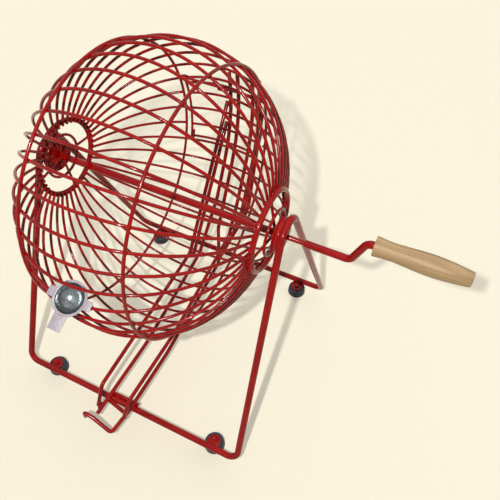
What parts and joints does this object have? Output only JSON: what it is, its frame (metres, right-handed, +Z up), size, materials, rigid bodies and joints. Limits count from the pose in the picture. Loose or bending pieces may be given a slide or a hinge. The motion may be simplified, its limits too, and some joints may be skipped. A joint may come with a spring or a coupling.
{
  "type": "raffle drum with crank",
  "caption": "Tabletop raffle drum: a bowed wire cage with a filling door and ball cup turns on a cranked shaft in a bent-rod stand, above a wire ball chute.",
  "frame": {"origin": "centre of the bounding box in X and Y, on the floor", "axes": "+X along the shaft towards the crank grip, +Y to the rear where the guard wires rise, +Z up"},
  "size_m": [0.49, 0.3856, 0.4403],
  "materials": {
    "red_coating": "glossy powder coat on steel wire and rod",
    "grip_wood": "fine-sanded pale beech, clear satin varnish",
    "foot_rubber": "matt moulded rubber",
    "cup_steel": "pressed and polished sheet steel"
  },
  "bodies": {
    "stand": {"bearing_disc_left": "red_coating", "bearing_disc_right": "red_coating", "chute_brace_left": "red_coating", "chute_braces_right": "red_coating", "chute_cross_wires": "red_coating", "chute_post_right": "red_coating", "chute_rail_lower_left": "red_coating", "chute_rail_lower_right": "red_coating", "chute_rail_upper_left": "red_coating", "chute_rail_upper_right": "red_coating", "foot_bolts": "red_coating", "foot_tabs": "red_coating", "left_end_frame": "red_coating", "right_end_frame": "red_coating", "rubber_feet": "foot_rubber"},
    "cage": {"crank": "red_coating", "door_hinge_wire": "red_coating", "hoop_left": "red_coating", "hoop_right": "red_coating", "hub_inner_ring_left": "red_coating", "hub_inner_ring_right": "red_coating", "hub_ring_left": "red_coating", "hub_ring_right": "red_coating", "hub_spokes_left": "red_coating", "hub_spokes_right": "red_coating", "ribs_at_cup": "red_coating", "ribs_beside_door": "red_coating", "ribs_bottom": "red_coating", "ribs_front": "red_coating", "ribs_lower_front": "red_coating", "ribs_lower_rear": "red_coating", "ribs_rear": "red_coating", "ribs_top": "red_coating", "ribs_upper_front": "red_coating", "ribs_upper_rear": "red_coating", "shaft_rod": "red_coating", "shaft_tube": "red_coating"},
    "grip": {"wood_grip": "grip_wood"},
    "door": {"door_hinge_coils": "red_coating", "door_latch": "red_coating", "door_side_left": "red_coating", "door_side_right": "red_coating", "door_spring": "red_coating", "door_wires": "red_coating"},
    "cup": {"ball_cup": "cup_steel"}
  },
  "joints": [
    {"name": "cage_spin", "type": "hinge", "parent": "stand", "child": "cage", "pos_m": [-0.08098, -0.00452, 0.278], "axis": [1, 0, 0], "continuous": true},
    {"name": "grip_spin", "type": "hinge", "parent": "cage", "child": "grip", "pos_m": [0.20002, -0.00452, 0.309], "axis": [1, 0, 0], "continuous": true},
    {"name": "door_swing", "type": "hinge", "parent": "cage", "child": "door", "pos_m": [-0.08098, 0.13302, 0.32806], "axis": [-1, 0, 0], "range_deg": [0, 75]},
    {"name": "cup_tilt", "type": "hinge", "parent": "cage", "child": "cup", "pos_m": [-0.08098, -0.16251, 0.278], "axis": [1, 0, 0], "range_deg": [0, 50]}
  ]
}
